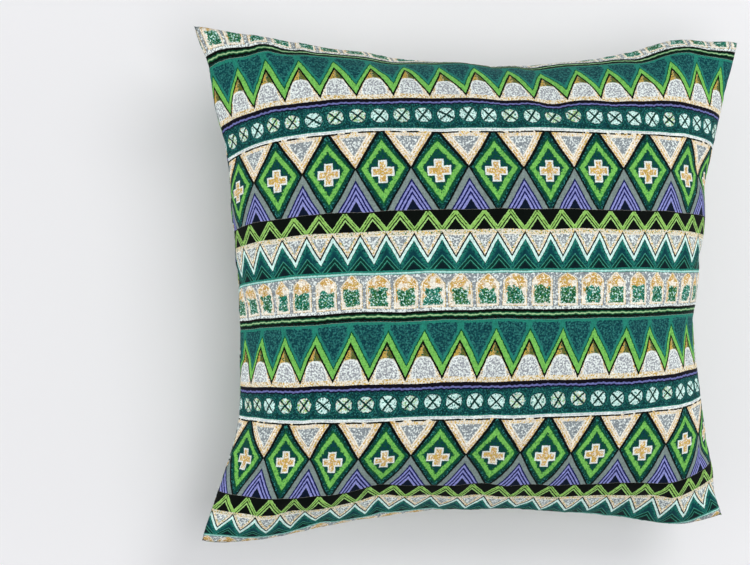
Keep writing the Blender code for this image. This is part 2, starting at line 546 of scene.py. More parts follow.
@dataclass(frozen=True)
class MintBand(Band):
    """A pale zigzag, with speckled teeth above it and nested dark lines below it."""

    low: float = 38.3
    high: float = 70.8
    spacing: Spacing = ZIGZAG_ROW
    foot: float = 47.0
    peak: float = 65.4
    reach: float = 2.05             # half the zigzag's height, upright
    edge: float = 2.2               # the dark line over it
    chevron: float = 12.2           # drop of a nested line from its top to its foot
    chevron_tops: tuple[float, ...] = (51.2, 47.4)
    chevron_reach: float = 0.42
    bright: float = 7.0             # depth of the bright ground under the zigzag
    sill: float = 1.5               # the green line along the foot
    fringe: float = 4.4             # the teeth's ivory edge, upright
    ragged: float = 4.0             # mm by which the teeth's flecked edges stray
    triangle_top: float = 45.4
    strip: float = 67.5             # the warm strip along the top

    def fill(self, art: Print) -> None:
        """Draw the band's motifs.

        Args:
            art: The drawing.
        """
        line = self.spacing.line(art)
        depth = self.spacing.zigzag(line, self.foot, self.peak) - art.y
        art.start(Dye.DEEP_SEA)
        near_zigzag = depth.below(self.bright, 6.0)
        art.spots(near_zigzag, art.speck[1], 0.46, Dye.SEA_GREEN, 0.10)
        for top in self.chevron_tops:
            fold = self.spacing.zigzag(line, top - self.chevron, top) - art.y
            art.over(fold.above(-0.2), Dye.BOTTLE)
            art.over(fold.near(0.0, self.chevron_reach), Dye.SEA_LIGHT)
        fold = self.spacing.zigzag(line, self.triangle_top - self.chevron, self.triangle_top)
        art.over((fold - art.y).above(0.0), Dye.DEEP_BOTTLE)
        art.over(art.y.below(self.low + self.sill), Dye.SEA_GREEN)
        self.fill_teeth(art, depth)
        art.over(depth.between(-self.reach - self.edge, -self.reach + 0.2), Dye.BLACK)
        art.over(depth.between(self.reach, self.reach + 0.9), Dye.BOTTLE)
        art.over(depth.near(0.0, self.reach), Dye.MINT)

    def fill_teeth(self, art: Print, depth: Field) -> None:
        """Draw the speckled teeth between the zigzag's peaks.

        Args:
            art: The drawing.
            depth: Height under the zigzag's middle line.
        """
        above = depth.below(-self.reach)
        rim = -self.reach - self.edge
        art.flecked(above, Dye.STONE, Dye.WHITE, 0.5, 1)
        art.over(depth.between(rim - self.fringe, rim) * above, Dye.IVORY)
        ragged = depth + art.speck[0].swing(self.ragged)
        art.spots(ragged.between(rim - 4.0, rim - 0.6), art.speck[2], 0.53, Dye.GOLD, 0.06)
        art.spots(ragged.between(rim - 5.0, rim - 3.4), art.speck[1], 0.55, Dye.MOSS, 0.06)
        art.over(above * art.y.above(self.strip - 0.9), Dye.CREAM)
        art.spots(above * art.y.above(self.strip), art.grain[1], 0.57, Dye.GOLD)
        art.spots(above * art.y.above(self.strip), art.grain[0], 0.60, Dye.MOSS)


@dataclass(frozen=True)
class BlackBand(Band):
    """A yellow-green double zigzag on black."""

    low: float = 70.8
    high: float = 86.6
    spacing: Spacing = ZIGZAG_ROW
    foot: float = 73.6
    peak: float = 87.4
    blunt: float = 85.5             # the peaks are cut off here
    thick: float = 4.5
    gap: float = 1.6
    thin: float = 1.7
    bright: float = 0.8             # the thick line's bright upper edge
    vein: tuple[float, float] = (1.6, 2.5)          # a broken dark vein in the thick line

    def fill(self, art: Print) -> None:
        """Draw the band's motifs.

        Args:
            art: The drawing.
        """
        art.start(Dye.BLACK)
        line = self.spacing.line(art) - self.spacing.pitch / 2
        depth = self.spacing.zigzag(line, self.foot, self.peak) - art.y
        art.over(depth.between(0.0, self.thick) * art.y.below(self.blunt), Dye.OLIVE_LIGHT)
        art.over(depth.between(0.0, self.bright) * art.y.below(self.blunt), Dye.LEAF_LIGHT)
        art.spots(depth.between(*self.vein), art.blot[2], 0.48, Dye.BLACK, 0.04)
        inner = self.thick + self.gap
        art.over(depth.between(inner, inner + self.thin), Dye.LEAF_LIGHT)


@dataclass(frozen=True)
class DiamondBand(Band):
    """Green lozenges with small crosses, between cream and grey triangles."""

    low: float = 86.6
    high: float = 147.3
    spacing: Spacing = Spacing(pitch=42.8, start=5.0, drift=1.7, run=182.0, phase=0.67)
    waist: float = 118.9
    height_above: float = 31.6
    height_below: float = 36.0
    light_width: float = 16.6
    light_above: float = 21.0
    light_below: float = 25.8
    light_share: float = 0.74
    cross_arm: float = 8.6
    cross_half: float = 3.4
    cross_drop: float = 2.6
    cross_rim: float = 1.2
    outline: tuple[float, float] = (-1.3, 0.4)      # the black edge, by distance past
    outline_above: tuple[float, float] = (-2.1, 0.4)
    gold_rims: tuple[tuple[float, float], ...] = ((1.7, 1.0), (5.0, 0.7))
    ivory: float = 5.2              # distance past where the cream triangle's inner rim starts
    core: float = 6.6               # and where its core starts
    core_drop: float = 4.0          # the core ends this far below the band's top
    lavender: float = 5.2           # distance past where the lavender starts
    stripes: tuple[float, ...] = (5.5, 8.5, 11.4)   # the nested dark lines, by distance past
    stripe_reach: float = 0.74
    shadow: float = 14.2            # the dark middle that they nest round

    def fill(self, art: Print) -> None:
        """Draw the band's motifs.

        Args:
            art: The drawing.
        """
        art.start(Dye.BOTTLE)
        line = self.spacing.line(art)
        off = self.spacing.from_middle(line)
        half = self.spacing.pitch / 2
        rise = art.y - self.waist
        upper = rise.above(0.0, 0.02)
        # Distance past the lozenge's edge, measured along the row
        up_part = rise.most(0.0) * (half / self.height_above)
        down_part = rise.least(0.0) * (-half / self.height_below)
        past = abs(off) + up_part + down_part - half
        self.fill_lozenge(art, off, rise)
        self.fill_upper(art, past, upper)
        self.fill_lower(art, past, 1.0 - upper)
        art.over(past.between(*self.outline, 0.5), Dye.BLACK)
        art.over(past.between(*self.outline_above, 0.5) * upper, Dye.BLACK)
        broken = art.blot[0].above(0.43, 0.03)
        art.over(art.y.above(self.high - 1.3) * broken, Dye.BLACK)

    def fill_lozenge(self, art: Print, off: Field, rise: Field) -> None:
        """Draw a lozenge's light outline, dark middle and cross.

        Args:
            art: The drawing.
            off: Distance from the lozenge's middle along the row.
            rise: Height over its waist.
        """
        up_part = rise.most(0.0) / self.light_above
        down_part = rise.least(0.0) / -self.light_below
        ring = abs(off) / self.light_width + up_part + down_part
        art.over(art.speck[2].above(0.53, 0.08), Dye.DEEP_SEA)
        art.over(art.grain[1].above(0.60, 0.06), Dye.SEA_FLECK)
        art.over((ring + art.speck[0].swing(0.4)).below(1.12, 0.05), Dye.DARK_GREEN)
        edge = ring + art.grain[0].swing(0.10)
        art.flecked(edge.below(1.0, 0.03), Dye.LEAF, Dye.DEEP_LEAF, 0.30, 0)
        ragged = ring + art.speck[1].swing(0.34)
        art.over(ragged.below(self.light_share, 0.03), Dye.DARK_GREEN)
        art.flecked(ragged.below(self.light_share - 0.07, 0.03), Dye.DEEP_SEA, Dye.DARK_GREEN,
                    0.45, 2)
        wide = abs(off)
        tall = abs(rise + self.cross_drop)
        flat_arm = (wide - self.cross_arm).most(tall - self.cross_half)
        tall_arm = (tall - self.cross_arm).most(wide - self.cross_half)
        cross = flat_arm.least(tall_arm) + art.speck[0].swing(0.8)
        art.over(cross.below(0.0), Dye.WHITE)
        inner = cross.below(-self.cross_rim, 0.4)
        art.flecked(inner, Dye.IVORY, Dye.GOLD, 0.66)
        art.spots(inner, art.speck[2], 0.58, Dye.BLUSH)
        art.spots(inner, art.speck[1], 0.60, Dye.RUST)

    def fill_upper(self, art: Print, past: Field, upper: Field) -> None:
        """Draw the cream triangle that hangs between two lozenges.

        Args:
            art: The drawing.
            past: Distance past the lozenge's edge.
            upper: 1 above the waist.
        """
        art.flecked(upper * past.above(0.0), Dye.IVORY, Dye.BLUSH, 0.35, 1)
        ragged = past + art.speck[0].swing(4.0)
        inner, outer = (ragged.near(middle, reach, 0.6) for middle, reach in self.gold_rims)
        rim = upper * (inner + outer)
        art.spots(rim, art.speck[2], 0.48, Dye.GOLD, 0.08)
        art.spots(rim, art.grain[0], 0.61, Dye.RUST, 0.06)
        top = upper * art.y.above(self.high - 4.2, 0.6) * past.above(1.5)
        art.spots(top, art.grain[1], 0.58, Dye.GOLD)
        inner_rim = upper * past.between(self.ivory, self.core)
        art.over(inner_rim * art.y.below(self.high - 3.4), Dye.IVORY)
        core = upper * past.above(self.core, 0.6) * art.y.below(self.high - self.core_drop, 0.6)
        art.flecked(core, Dye.STONE, Dye.WHITE, 0.4, 1)

    def fill_lower(self, art: Print, past: Field, lower: Field) -> None:
        """Draw the grey triangle that stands between two lozenges.

        Args:
            art: The drawing.
            past: Distance past the lozenge's edge.
            lower: 1 below the waist.
        """
        art.over(lower * past.above(0.0), Dye.SLATE)
        art.over(lower * past.above(self.lavender), Dye.LAVENDER)
        for place in self.stripes:
            art.over(lower * past.near(place, self.stripe_reach), Dye.NAVY)
        art.over(lower * past.above(self.shadow), Dye.DEEP_NAVY)


@dataclass(frozen=True)
class DotBand(Band):
    """Pale crossed discs on a mottled blue-green ground, with lines above and below it."""

    low: float = 147.3
    high: float = 175.2
    spacing: Spacing = Spacing(pitch=16.67, start=3.9, drift=2.2, run=427.0, phase=0.53)
    middle: float = 160.2
    half_width: float = 6.1
    half_height: float = 5.7
    squareness: float = 2.2         # the power that makes a disc a little square
    rise_spread: float = 1.4        # how far the discs stand up and down
    stroke_reach: float = 1.0
    pale_line: float = 2.2          # height of the pale line along the foot
    pale_rim: float = 0.7
    waves: tuple[tuple[float, float], ...] = ((4.6, 0.22), (11.0, 0.2))
    dark_start: float = 169.6       # where the lines along the top begin
    lavender_start: float = 170.8
    ink_start: float = 172.2

    def fill(self, art: Print) -> None:
        """Draw the band's motifs.

        Args:
            art: The drawing.
        """
        art.start(Dye.DEEP_SEA)
        art.over(art.speck[1].above(0.52, 0.16), Dye.BOTTLE)
        art.over(art.grain[2].above(0.60, 0.14), Dye.SEA_FLECK)
        line = self.spacing.line(art)
        off = self.spacing.from_middle(line)
        chance = art.each(self.spacing.number(line))
        rise = art.y - self.middle + chance[0].swing(self.rise_spread)
        size = (abs(off) / self.half_width).math("POWER", self.squareness)
        size = size + (abs(rise) / self.half_height).math("POWER", self.squareness)
        size = size + chance[1].swing(0.3)
        art.over(size.between(1.5, 1.85, 0.1) * 0.35, Dye.SEA_GREEN)
        disc = (size + art.speck[0].swing(1.1)).below(1.0, 0.12)
        art.over(disc, Dye.MINT)
        art.spots(disc, art.grain[2], 0.58, Dye.SEA_FLECK)
        tinted = disc * chance[1].above(0.6, 0.1)
        art.spots(tinted, art.speck[0], 0.55, Dye.OLIVE_LIGHT, 0.06)
        art.spots(tinted, art.grain[0], 0.58, Dye.BLUSH, 0.06)
        # Two crossing strokes, turned a little differently on each disc
        lean = chance[2].swing(0.7)
        first = abs(off - rise + rise * lean)
        second = abs(off + rise + off * lean)
        stroke = first.least(second) + art.speck[1].swing(1.2)
        art.over(disc * stroke.below(self.stroke_reach), Dye.BOTTLE)
        self.draw_lines(art)

    def draw_lines(self, art: Print) -> None:
        """Draw the pale line below the discs and the dark and lavender ones above them.

        Args:
            art: The drawing.
        """
        art.over(art.y.below(self.low + self.pale_line + self.pale_rim), Dye.SEA_GREEN)
        art.over(art.y.below(self.low + self.pale_line), Dye.WHITE)
        art.spots(art.y.near(self.low + 1.2, 0.4), art.blot[1], 0.48, Dye.SLATE_PALE, 0.06)
        wave = art.wavy(self.waves)
        art.over(wave.above(self.dark_start), Dye.DEEP_NAVY)
        art.over(wave.above(self.lavender_start), Dye.DULL_LAVENDER)
        art.over(wave.above(self.ink_start), Dye.INK)


@dataclass(frozen=True)
class PeakBand(Band):
    """A tall light-green zigzag, with dark triangles above it and speckled mounds below it."""

    low: float = 175.2
    high: float = 223.0
    spacing: Spacing = Spacing(pitch=27.47, start=1.3, drift=1.5, run=314.0, phase=1.07)
    foot: float = 178.4
    peak: float = 206.4
    line_reach: float = 1.65        # half the black line's height, upright
    light_foot: float = 187.4
    light_peak: float = 214.6
    lean: float = 0.9               # how far the light zigzag's top edge is shifted
    shade_gap: float = 2.6          # half the bare ground over a peak
    shade_margin: float = 6.0       # bare ground over the light zigzag, upright
    shade_top: float = 220.6
    outline: float = 1.9            # dark green over the light zigzag, upright
    tip_blur: float = 6.0           # mm by which the warm tips' two colours mingle
    mound_half: float = 9.0
    mound_top: float = 195.0
    base: float = 178.8

    def fill(self, art: Print) -> None:
        """Draw the band's motifs.

        Args:
            art: The drawing.
        """
        line = self.spacing.line(art)
        off = self.spacing.from_middle(line)
        art.start(Dye.SEA_GREEN)
        top_edge = self.spacing.zigzag(line, self.light_foot, self.light_peak, self.lean)
        over_light = art.y - top_edge + art.speck[1].swing(3.4)
        shade = ((abs(off) - self.shade_gap) * 2.0).least(over_light - self.shade_margin)
        shade = shade + art.speck[0].swing(7.0)
        dark = shade.above(0.0, 1.2) * (art.y + art.speck[1].swing(3.0)).below(self.shade_top)
        art.flecked(dark, Dye.DEEP_SEA, Dye.SEA_FLECK, 0.38, 1, 0.22)
        art.over(over_light.below(self.outline), Dye.DARK_GREEN)
        art.flecked(over_light.below(0.0), Dye.LEAF, Dye.DEEP_LEAF, 0.22, 2)
        lift = art.y - self.spacing.zigzag(line, self.foot, self.peak)
        self.fill_foot(art, off, lift)
        art.over(lift.near(0.0, self.line_reach), Dye.BLACK)

    def fill_foot(self, art: Print, off: Field, lift: Field) -> None:
        """Draw what lies below the zigzag: warm tips, speckled mounds and a warm base line.

        Args:
            art: The drawing.
            off: Distance from the motif's middle along the row.
            lift: Height over the zigzag.
        """
        foot = lift.below(0.0)
        art.flecked(foot, Dye.IVORY, Dye.BLUSH, 0.32, 1)
        art.spots(foot * lift.above(-4.6, 1.0), art.speck[0], 0.54, Dye.GOLD)
        art.spots(foot, art.grain[0], 0.60, Dye.STONE)
        tip = foot * art.y.above(self.mound_top - 0.6, 1.5)
        side = off + art.speck[0].swing(self.tip_blur)
        art.over(tip * side.below(0.0, 1.2), Dye.GOLD)
        art.over(tip * side.above(0.0, 1.2), Dye.OLIVE)
        art.spots(tip, art.grain[1], 0.57, Dye.DARK_GREEN)
        wide = (abs(off) / self.mound_half).math("POWER", 2.4)
        tall = ((art.y - self.base) / (self.mound_top - self.base)).math("ABSOLUTE")
        size = wide + tall.math("POWER", 2.2)
        art.over(foot * size.below(1.0, 0.1), Dye.WHITE)
        art.spots(foot * size.below(0.82, 0.1), art.speck[2], 0.50, Dye.PEBBLE, 0.06)
        base = foot * art.y.below(self.base + 0.2, 0.6)
        art.over(base, Dye.CREAM)
        art.spots(base, art.speck[2], 0.54, Dye.GOLD)


@dataclass(frozen=True)
class PrintedCotton:
    """The cover's printed cotton: its pattern, weave and soft sheen."""

    bands: tuple[Band, ...] = (
        PairOfLines(), ArchBand(), MintBand(), BlackBand(), DiamondBand(), DotBand(), PeakBand(),
    )
    row: float = 223.0              # height of one repeat of the bands
    row_start: float = -31.0        # height on the panel where a repeat begins
    yarn: float = 0.52              # mm from one yarn of the weave to the next
    yarn_height: float = 0.035      # mm that a yarn stands up
    crumple_height: float = 0.8     # mm, for unevenness too fine for the mesh
    yarn_contrast: float = 0.55     # how much one yarn differs in tone from the next
    grain_contrast: float = 1.0
    # Painted shade: how much the cloth's colour is darkened at the seam, standing in for the
    # groove's shadow and the cloth turning from the light
    seam_painted_shade: float = 0.34
    seam_reach: float = 5.0         # mm from the seam over which painted shade darkens the cloth
    wear: float = 0.30
    wear_reach: float = 1.4
    yarn_scale: float = 1.6         # changes of tone for each mm across the yarns
    yarn_run: float = 16.0          # how much longer they are along a yarn
    roughness: float = 0.86
    rough_spread: float = 0.25
    sheen: float = 0.03
    sheen_roughness: float = 0.5
    specular: float = 0.06

    def cloth_place(self, tree: bpy.types.NodeTree) -> bpy.types.NodeSocket:
        """Find the place on the flat cloth, with a repeat's start at height 0.

        Args:
            tree: The material's node tree.

        Returns:
            The output that gives the place, in millimetres.
        """
        plan = tree.nodes.new("ShaderNodeUVMap")
        plan.uv_map = CLOTH_PLAN
        moved = tree.nodes.new("ShaderNodeVectorMath")
        moved.operation = "ADD"
        moved.inputs[1].default_value = (0.0, -self.row_start, 0.0)
        tree.links.new(plan.outputs[0], moved.inputs[0])
        return moved.outputs[0]

    def material(self) -> bpy.types.Material:
        """Build the material.

        Returns:
            The printed cotton.
        """
        made = bpy.data.materials.new("printed_cotton")
        made.use_nodes = True
        tree = made.node_tree
        shader = tree.nodes["Principled BSDF"]
        art = Print(tree, self.cloth_place(tree), self.row)
        for band in self.bands:
            band.draw(art)
        self.wear_and_painted_shade(art)
        tree.links.new(art.colour, shader.inputs["Base Color"])
        rough = art.blot[2].swing(self.rough_spread) + self.roughness
        tree.links.new(rough.socket, shader.inputs["Roughness"])
        tree.links.new(self.relief(art), shader.inputs["Normal"])
        shader.inputs["Sheen Weight"].default_value = self.sheen
        shader.inputs["Sheen Roughness"].default_value = self.sheen_roughness
        shader.inputs["Specular IOR Level"].default_value = self.specular
        return made

    def wear_and_painted_shade(self, art: Print) -> None:
        """Vary the yarns' tone, darken the cloth towards the seam with painted shade and wear the
        seam a little.

        Args:
            art: The drawing, with all its bands.
        """
        node = art.tree.nodes.new("ShaderNodeAttribute")
        node.attribute_name = SEAM_GAP
        gap = Field(art.tree, node.outputs["Fac"])
        warp = art.noise(self.yarn_scale, detail=1.0, seed=61.0, stretch=(1.0, self.yarn_run))
        weft = art.noise(self.yarn_scale, detail=1.0, seed=67.0, stretch=(self.yarn_run, 1.0))
        yarns = art.split(warp)[0] + art.split(weft)[0]
        tone = (yarns - 1.0) * self.yarn_contrast + 1.0
        tone = tone + art.grain[1].swing(self.grain_contrast)
        # Painted shade: the colour darkens towards the seam, standing in for the groove's shadow
        # and the cloth turning from the light
        shade = gap.below(self.seam_reach / 2, self.seam_reach) * self.seam_painted_shade
        art.lighten(tone - shade)
        worn = gap.below(self.wear_reach / 2, self.wear_reach) * art.grain[2].above(0.5, 0.1)
        art.over(worn * self.wear, Dye.SLATE_PALE)

    def relief(self, art: Print) -> bpy.types.NodeSocket:
        """Raise the plain weave's yarns and a soft crumple.

        Args:
            art: The drawing.

        Returns:
            The output that gives the cloth's normal.
        """
        weave = art.flat_x.turned(2 * self.yarn) * art.flat_y.turned(2 * self.yarn)
        crumple = art.split(art.noise(scale=0.09, detail=2.0, seed=71.0))[0]
        bump = art.tree.nodes.new("ShaderNodeBump")
        bump.inputs["Distance"].default_value = MM
        height = weave * self.yarn_height + crumple * self.crumple_height
        art.tree.links.new(height.socket, bump.inputs["Height"])
        return bump.outputs["Normal"]


@dataclass(frozen=True)
class Corner:
    """Where one filled corner's tip comes, in shares of half the cut panel, and its lift."""

    across: float
    up: float
    lift: float


@dataclass(frozen=True)
class Bulge:
    """A small swell of a side, or a dip where its size is below 0."""

    place: float            # share along the side, from -1 to 1
    reach: float
    size: float

    def swell(self, share: np.ndarray) -> np.ndarray:
        """How far the side comes out."""
        return self.size * np.exp(-(((share - self.place) / self.reach) ** 2))


@dataclass(frozen=True)
class Side:
    """One seamed side: how far it is drawn in, how square its run is, and its bulges."""

    draw: float
    bend: float
    bulges: tuple[Bulge, ...] = ()

    def drawn_in(self, share: np.ndarray) -> np.ndarray:
        """How far the side is drawn in."""
        return self.draw * np.cos(pi / 2 * np.abs(share) ** self.bend)

    def swell(self, share: np.ndarray) -> np.ndarray:
        """How far the bulges bring the side out."""
        return sum(bulge.swell(share) for bulge in self.bulges)


@dataclass(frozen=True)
class Fold:
    """A soft trough, placed and sized in shares of the panel from -1 to 1."""

    across: float
    up: float
    run_across: float
    run_up: float
    width: float
    depth: float

    def depth_at(self, across: np.ndarray, up: np.ndarray) -> np.ndarray:
        """Depth of the trough at places on the panel.

        Args:
            across: Shares across the panel.
            up: Shares up the panel.

        Returns:
            The depths, in metres.
        """
        length = np.hypot(self.run_across, self.run_up)
        along = ((across - self.across) * self.run_across + (up - self.up) * self.run_up) / length
        beside = ((across - self.across) * self.run_up - (up - self.up) * self.run_across) / length
        ends = np.exp(-((along - length / 2) / (length * 0.55)) ** 4)
        return self.depth * ends * np.exp(-(beside / self.width) ** 2)


@dataclass(frozen=True)
class FilledForm:
    """The form that the filling gives the two panels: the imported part's, with blunter tips."""

    cut_wide: float = 0.450
    cut_tall: float = 0.415
    front_crown: float = 0.088
    back_crown: float = 0.089
    seam_height: float = 0.075
    press_start: float = 0.067
    round_sides: float = 0.71
    seam_drawn: float = 0.057
    tip_round: float = 0.0045
    tip_power: float = 30.0
    bulge_fade: float = 4.0
    gathers: float = 9.0
    gather_depth: float = 0.0014
    gather_reach: float = 0.16
    seam_wave: float = 0.0022
    # A corner's place across and up, then its lift
    lower_left: Corner = Corner(-1.007, -0.944, -0.004)
    lower_right: Corner = Corner(0.881, -0.920, -0.010)
    upper_left: Corner = Corner(-0.999, 0.991, 0.028)
    upper_right: Corner = Corner(0.985, 0.944, 0.006)
    # A side's draw and bend, then the place, reach and size of each bulge
    left: Side = Side(0.0339, 1.68, (
        Bulge(-0.59, 0.22, -0.0060),
        Bulge(-0.15, 0.23, -0.0047),
        Bulge(0.29, 0.20, 0.0015),
        Bulge(0.68, 0.08, 0.0032),
        Bulge(0.85, 0.05, -0.0020),
    ))
    right: Side = Side(0.0328, 1.32, (
        Bulge(-0.89, 0.07, -0.0038),
        Bulge(-0.63, 0.11, -0.0008),
        Bulge(-0.22, 0.14, -0.0053),
        Bulge(0.24, 0.16, 0.0039),
        Bulge(0.62, 0.13, 0.0031),
    ))
    lower: Side = Side(0.0198, 1.04, (
        Bulge(-0.78, 0.16, 0.0065),
        Bulge(-0.51, 0.19, 0.0019),
        Bulge(0.45, 0.27, 0.0058),
        Bulge(0.79, 0.16, 0.0090),
        Bulge(0.95, 0.06, -0.0010),
    ))
    upper: Side = Side(0.0250, 1.03, (
        Bulge(-0.85, 0.08, -0.0011),
        Bulge(-0.45, 0.23, 0.0028),
        Bulge(-0.04, 0.07, 0.0014),
        Bulge(0.25, 0.27, -0.0033),
        Bulge(0.76, 0.13, 0.0068),
    ))
    # A fold's place across and up, its run across and up, then its width and depth
    front_folds: tuple[Fold, ...] = (
        Fold(-0.93, 0.93, 0.34, -0.30, 0.075, 0.0045),
        Fold(0.93, 0.92, -0.30, -0.28, 0.070, 0.0040),
        Fold(-0.96, -0.72, 0.30, 0.10, 0.060, 0.0045),
        Fold(-0.70, -0.97, 0.10, 0.26, 0.060, 0.0030),
        Fold(0.94, -0.92, -0.30, 0.26, 0.070, 0.0040),
        Fold(0.97, 0.46, -0.22, -0.05, 0.050, 0.0025),
        Fold(0.20, 0.97, 0.03, -0.20, 0.055, 0.0025),
        Fold(-1.00, -0.76, 0.16, 0.05, 0.035, 0.0035),
        Fold(1.00, -0.17, -0.14, 0.03, 0.035, 0.0030),
    )
    back_folds: tuple[Fold, ...] = (
        Fold(-0.93, 0.92, 0.30, -0.30, 0.075, 0.0040),
        Fold(0.92, 0.93, -0.32, -0.30, 0.070, 0.0045),
        Fold(-0.93, -0.92, 0.30, 0.30, 0.075, 0.0040),
        Fold(0.93, -0.93, -0.28, 0.32, 0.070, 0.0040),
        Fold(-0.97, 0.10, 0.22, 0.04, 0.055, 0.0030),
        Fold(0.97, -0.16, -0.22, 0.04, 0.055, 0.0030),
    )

    @staticmethod
    def mix(start: np.ndarray | float, end: np.ndarray | float, share: np.ndarray) -> np.ndarray:
        """Value between start and end."""
        return start + (end - start) * share

    def crown_angle(self, share: np.ndarray) -> np.ndarray:
        """Angle round the crown, in radians."""
        return pi / 2 * (self.round_sides * share + (1 - self.round_sides) * share ** 3)

    def seam_share(self, share: np.ndarray) -> np.ndarray:
        """Place along a seam, which is gathered most at the middle of its side."""
        return share * (1 - self.seam_drawn) + self.seam_drawn * share ** 3

    def near_seams(self, across: np.ndarray, up: np.ndarray) -> tuple[np.ndarray, np.ndarray]:
        """Nearness to the sides and to the ends, each fading out towards the corners.

        Args:
            across: Shares across the panel.
            up: Shares up the panel.

        Returns:
            The two, each 1 at the seam's middle.
        """
        beside = np.exp(-(1 - np.abs(across)) / self.gather_reach) * np.cos(pi / 2 * up) ** 2
        along = np.exp(-(1 - np.abs(up)) / self.gather_reach) * np.cos(pi / 2 * across) ** 2
        return beside, along

    def lift(self, across: np.ndarray, up: np.ndarray) -> np.ndarray:
        """How far the corners and the seam's slow waves lift the cloth.

        Args:
            across: Shares across the panel.
            up: Shares up the panel.

        Returns:
            The lift, in metres.
        """
        low = self.mix(self.lower_left.lift, self.lower_right.lift, (across + 1) / 2)
        high = self.mix(self.upper_left.lift, self.upper_right.lift, (across + 1) / 2)
        corners = self.mix(low, high, (up + 1) / 2) * (across * up) ** 2
        beside, along = self.near_seams(across, up)
        # Uneven runs that lean, so that no side's waves match another's
        waves = beside * np.sin(4.3 * up + 2 * across) + along * np.sin(3.7 * across - up)
        return corners + self.seam_wave * waves

    def gathered(self, across: np.ndarray, up: np.ndarray) -> np.ndarray:
        """Depth of the small waves that run in from the seam.

        Args:
            across: Shares across the panel.
            up: Shares up the panel.

        Returns:
            The depths, in metres.
        """
        beside, along = self.near_seams(across, up)
        up_waves = np.sin(self.gathers * pi * up + 1.7 * np.sin(3.1 * up + across))
        across_waves = np.sin(self.gathers * pi * across + 1.9 * np.sin(2.7 * across - up))
        return self.gather_depth * (beside * up_waves + along * across_waves)

    def pressed(self, depth: np.ndarray) -> np.ndarray:
        """Depth below the seam once the surface has pressed the back flat.

        Args:
            depth: Depth that the back would have if it hung free.

        Returns:
            The depth that it has, in metres.
        """
        room = 2 * (self.seam_height - self.press_start)
        past = np.clip(depth - self.press_start, 0, room)
        return np.minimum(depth, self.press_start) + past - past * past / (2 * room)

    def turns(self, across: np.ndarray, up: np.ndarray) -> tuple[np.ndarray, ...]:
        """How far the cloth is from the seam across and up, as its crown turns, from 0 to 1."""
        return tuple(np.maximum(np.cos(self.crown_angle(share)), 0) for share in (across, up))

    def outline(self, across: np.ndarray, up: np.ndarray) -> tuple[np.ndarray, np.ndarray]:
        """X and Y of places on the panel.

        Args:
            across: Shares across the panel.
            up: Shares up the panel.

        Returns:
            The two coordinates, in metres.
        """
        turn_across, turn_up = self.turns(across, up)
        wide = self.mix(self.seam_share(across), np.sin(self.crown_angle(across)), turn_up)
        tall = self.mix(self.seam_share(up), np.sin(self.crown_angle(up)), turn_across)
        half_wide = self.cut_wide / 2
        half_tall = self.cut_tall / 2
        up_part = (up + 1) / 2
        across_part = (across + 1) / 2
        left = half_wide * self.mix(self.lower_left.across, self.upper_left.across, up_part)
        right = half_wide * self.mix(self.lower_right.across, self.upper_right.across, up_part)
        lower = half_tall * self.mix(self.lower_left.up, self.lower_right.up, across_part)
        upper = half_tall * self.mix(self.upper_left.up, self.upper_right.up, across_part)
        left = left + self.left.drawn_in(up)
        right = right - self.right.drawn_in(up)
        lower = lower + self.lower.drawn_in(across)
        upper = upper - self.upper.drawn_in(across)
        tip = self.tip_round * np.abs(across * up) ** self.tip_power
        x = self.mix(left, right, (wide + 1) / 2) - tip * across
        y = self.mix(lower, upper, (tall + 1) / 2) - tip * up
        x = x + self.right.swell(up) * np.maximum(wide, 0) ** self.bulge_fade
        x = x - self.left.swell(up) * np.maximum(-wide, 0) ** self.bulge_fade
        y = y + self.upper.swell(across) * np.maximum(tall, 0) ** self.bulge_fade
        y = y - self.lower.swell(across) * np.maximum(-tall, 0) ** self.bulge_fade
        return x, y

    def place(self, across: np.ndarray, up: np.ndarray, front: bool) -> np.ndarray:
        """Places of one panel's points.

        Args:
            across: Shares across the panel, from -1 to 1.
            up: Shares up the panel, from -1 to 1.
            front: Whether this is the front panel.

        Returns:
            The places, in metres, with x, y and z last.
        """
        x, y = self.outline(across, up)
        turn_across, turn_up = self.turns(across, up)
        spread = turn_across ** 2 + turn_up ** 2 - (turn_across * turn_up) ** 2
        rise = turn_across * turn_up / np.sqrt(np.maximum(spread, 1e-9))
        # Folds fade out at the seam itself
        fade = np.minimum(rise * 4, 1)
        lift = self.lift(across, up)
        folds = self.front_folds if front else self.back_folds
        dent = sum(fold.depth_at(across, up) for fold in folds)
        if front:
            dent = dent + self.gathered(across, up)
            z = self.seam_height + lift + self.front_crown * rise - dent * fade
        else:
            dent = dent - self.gathered(across, up)
            z = self.seam_height - self.pressed(self.back_crown * rise - dent * fade - lift)
        return np.stack([x, y, z], -1)


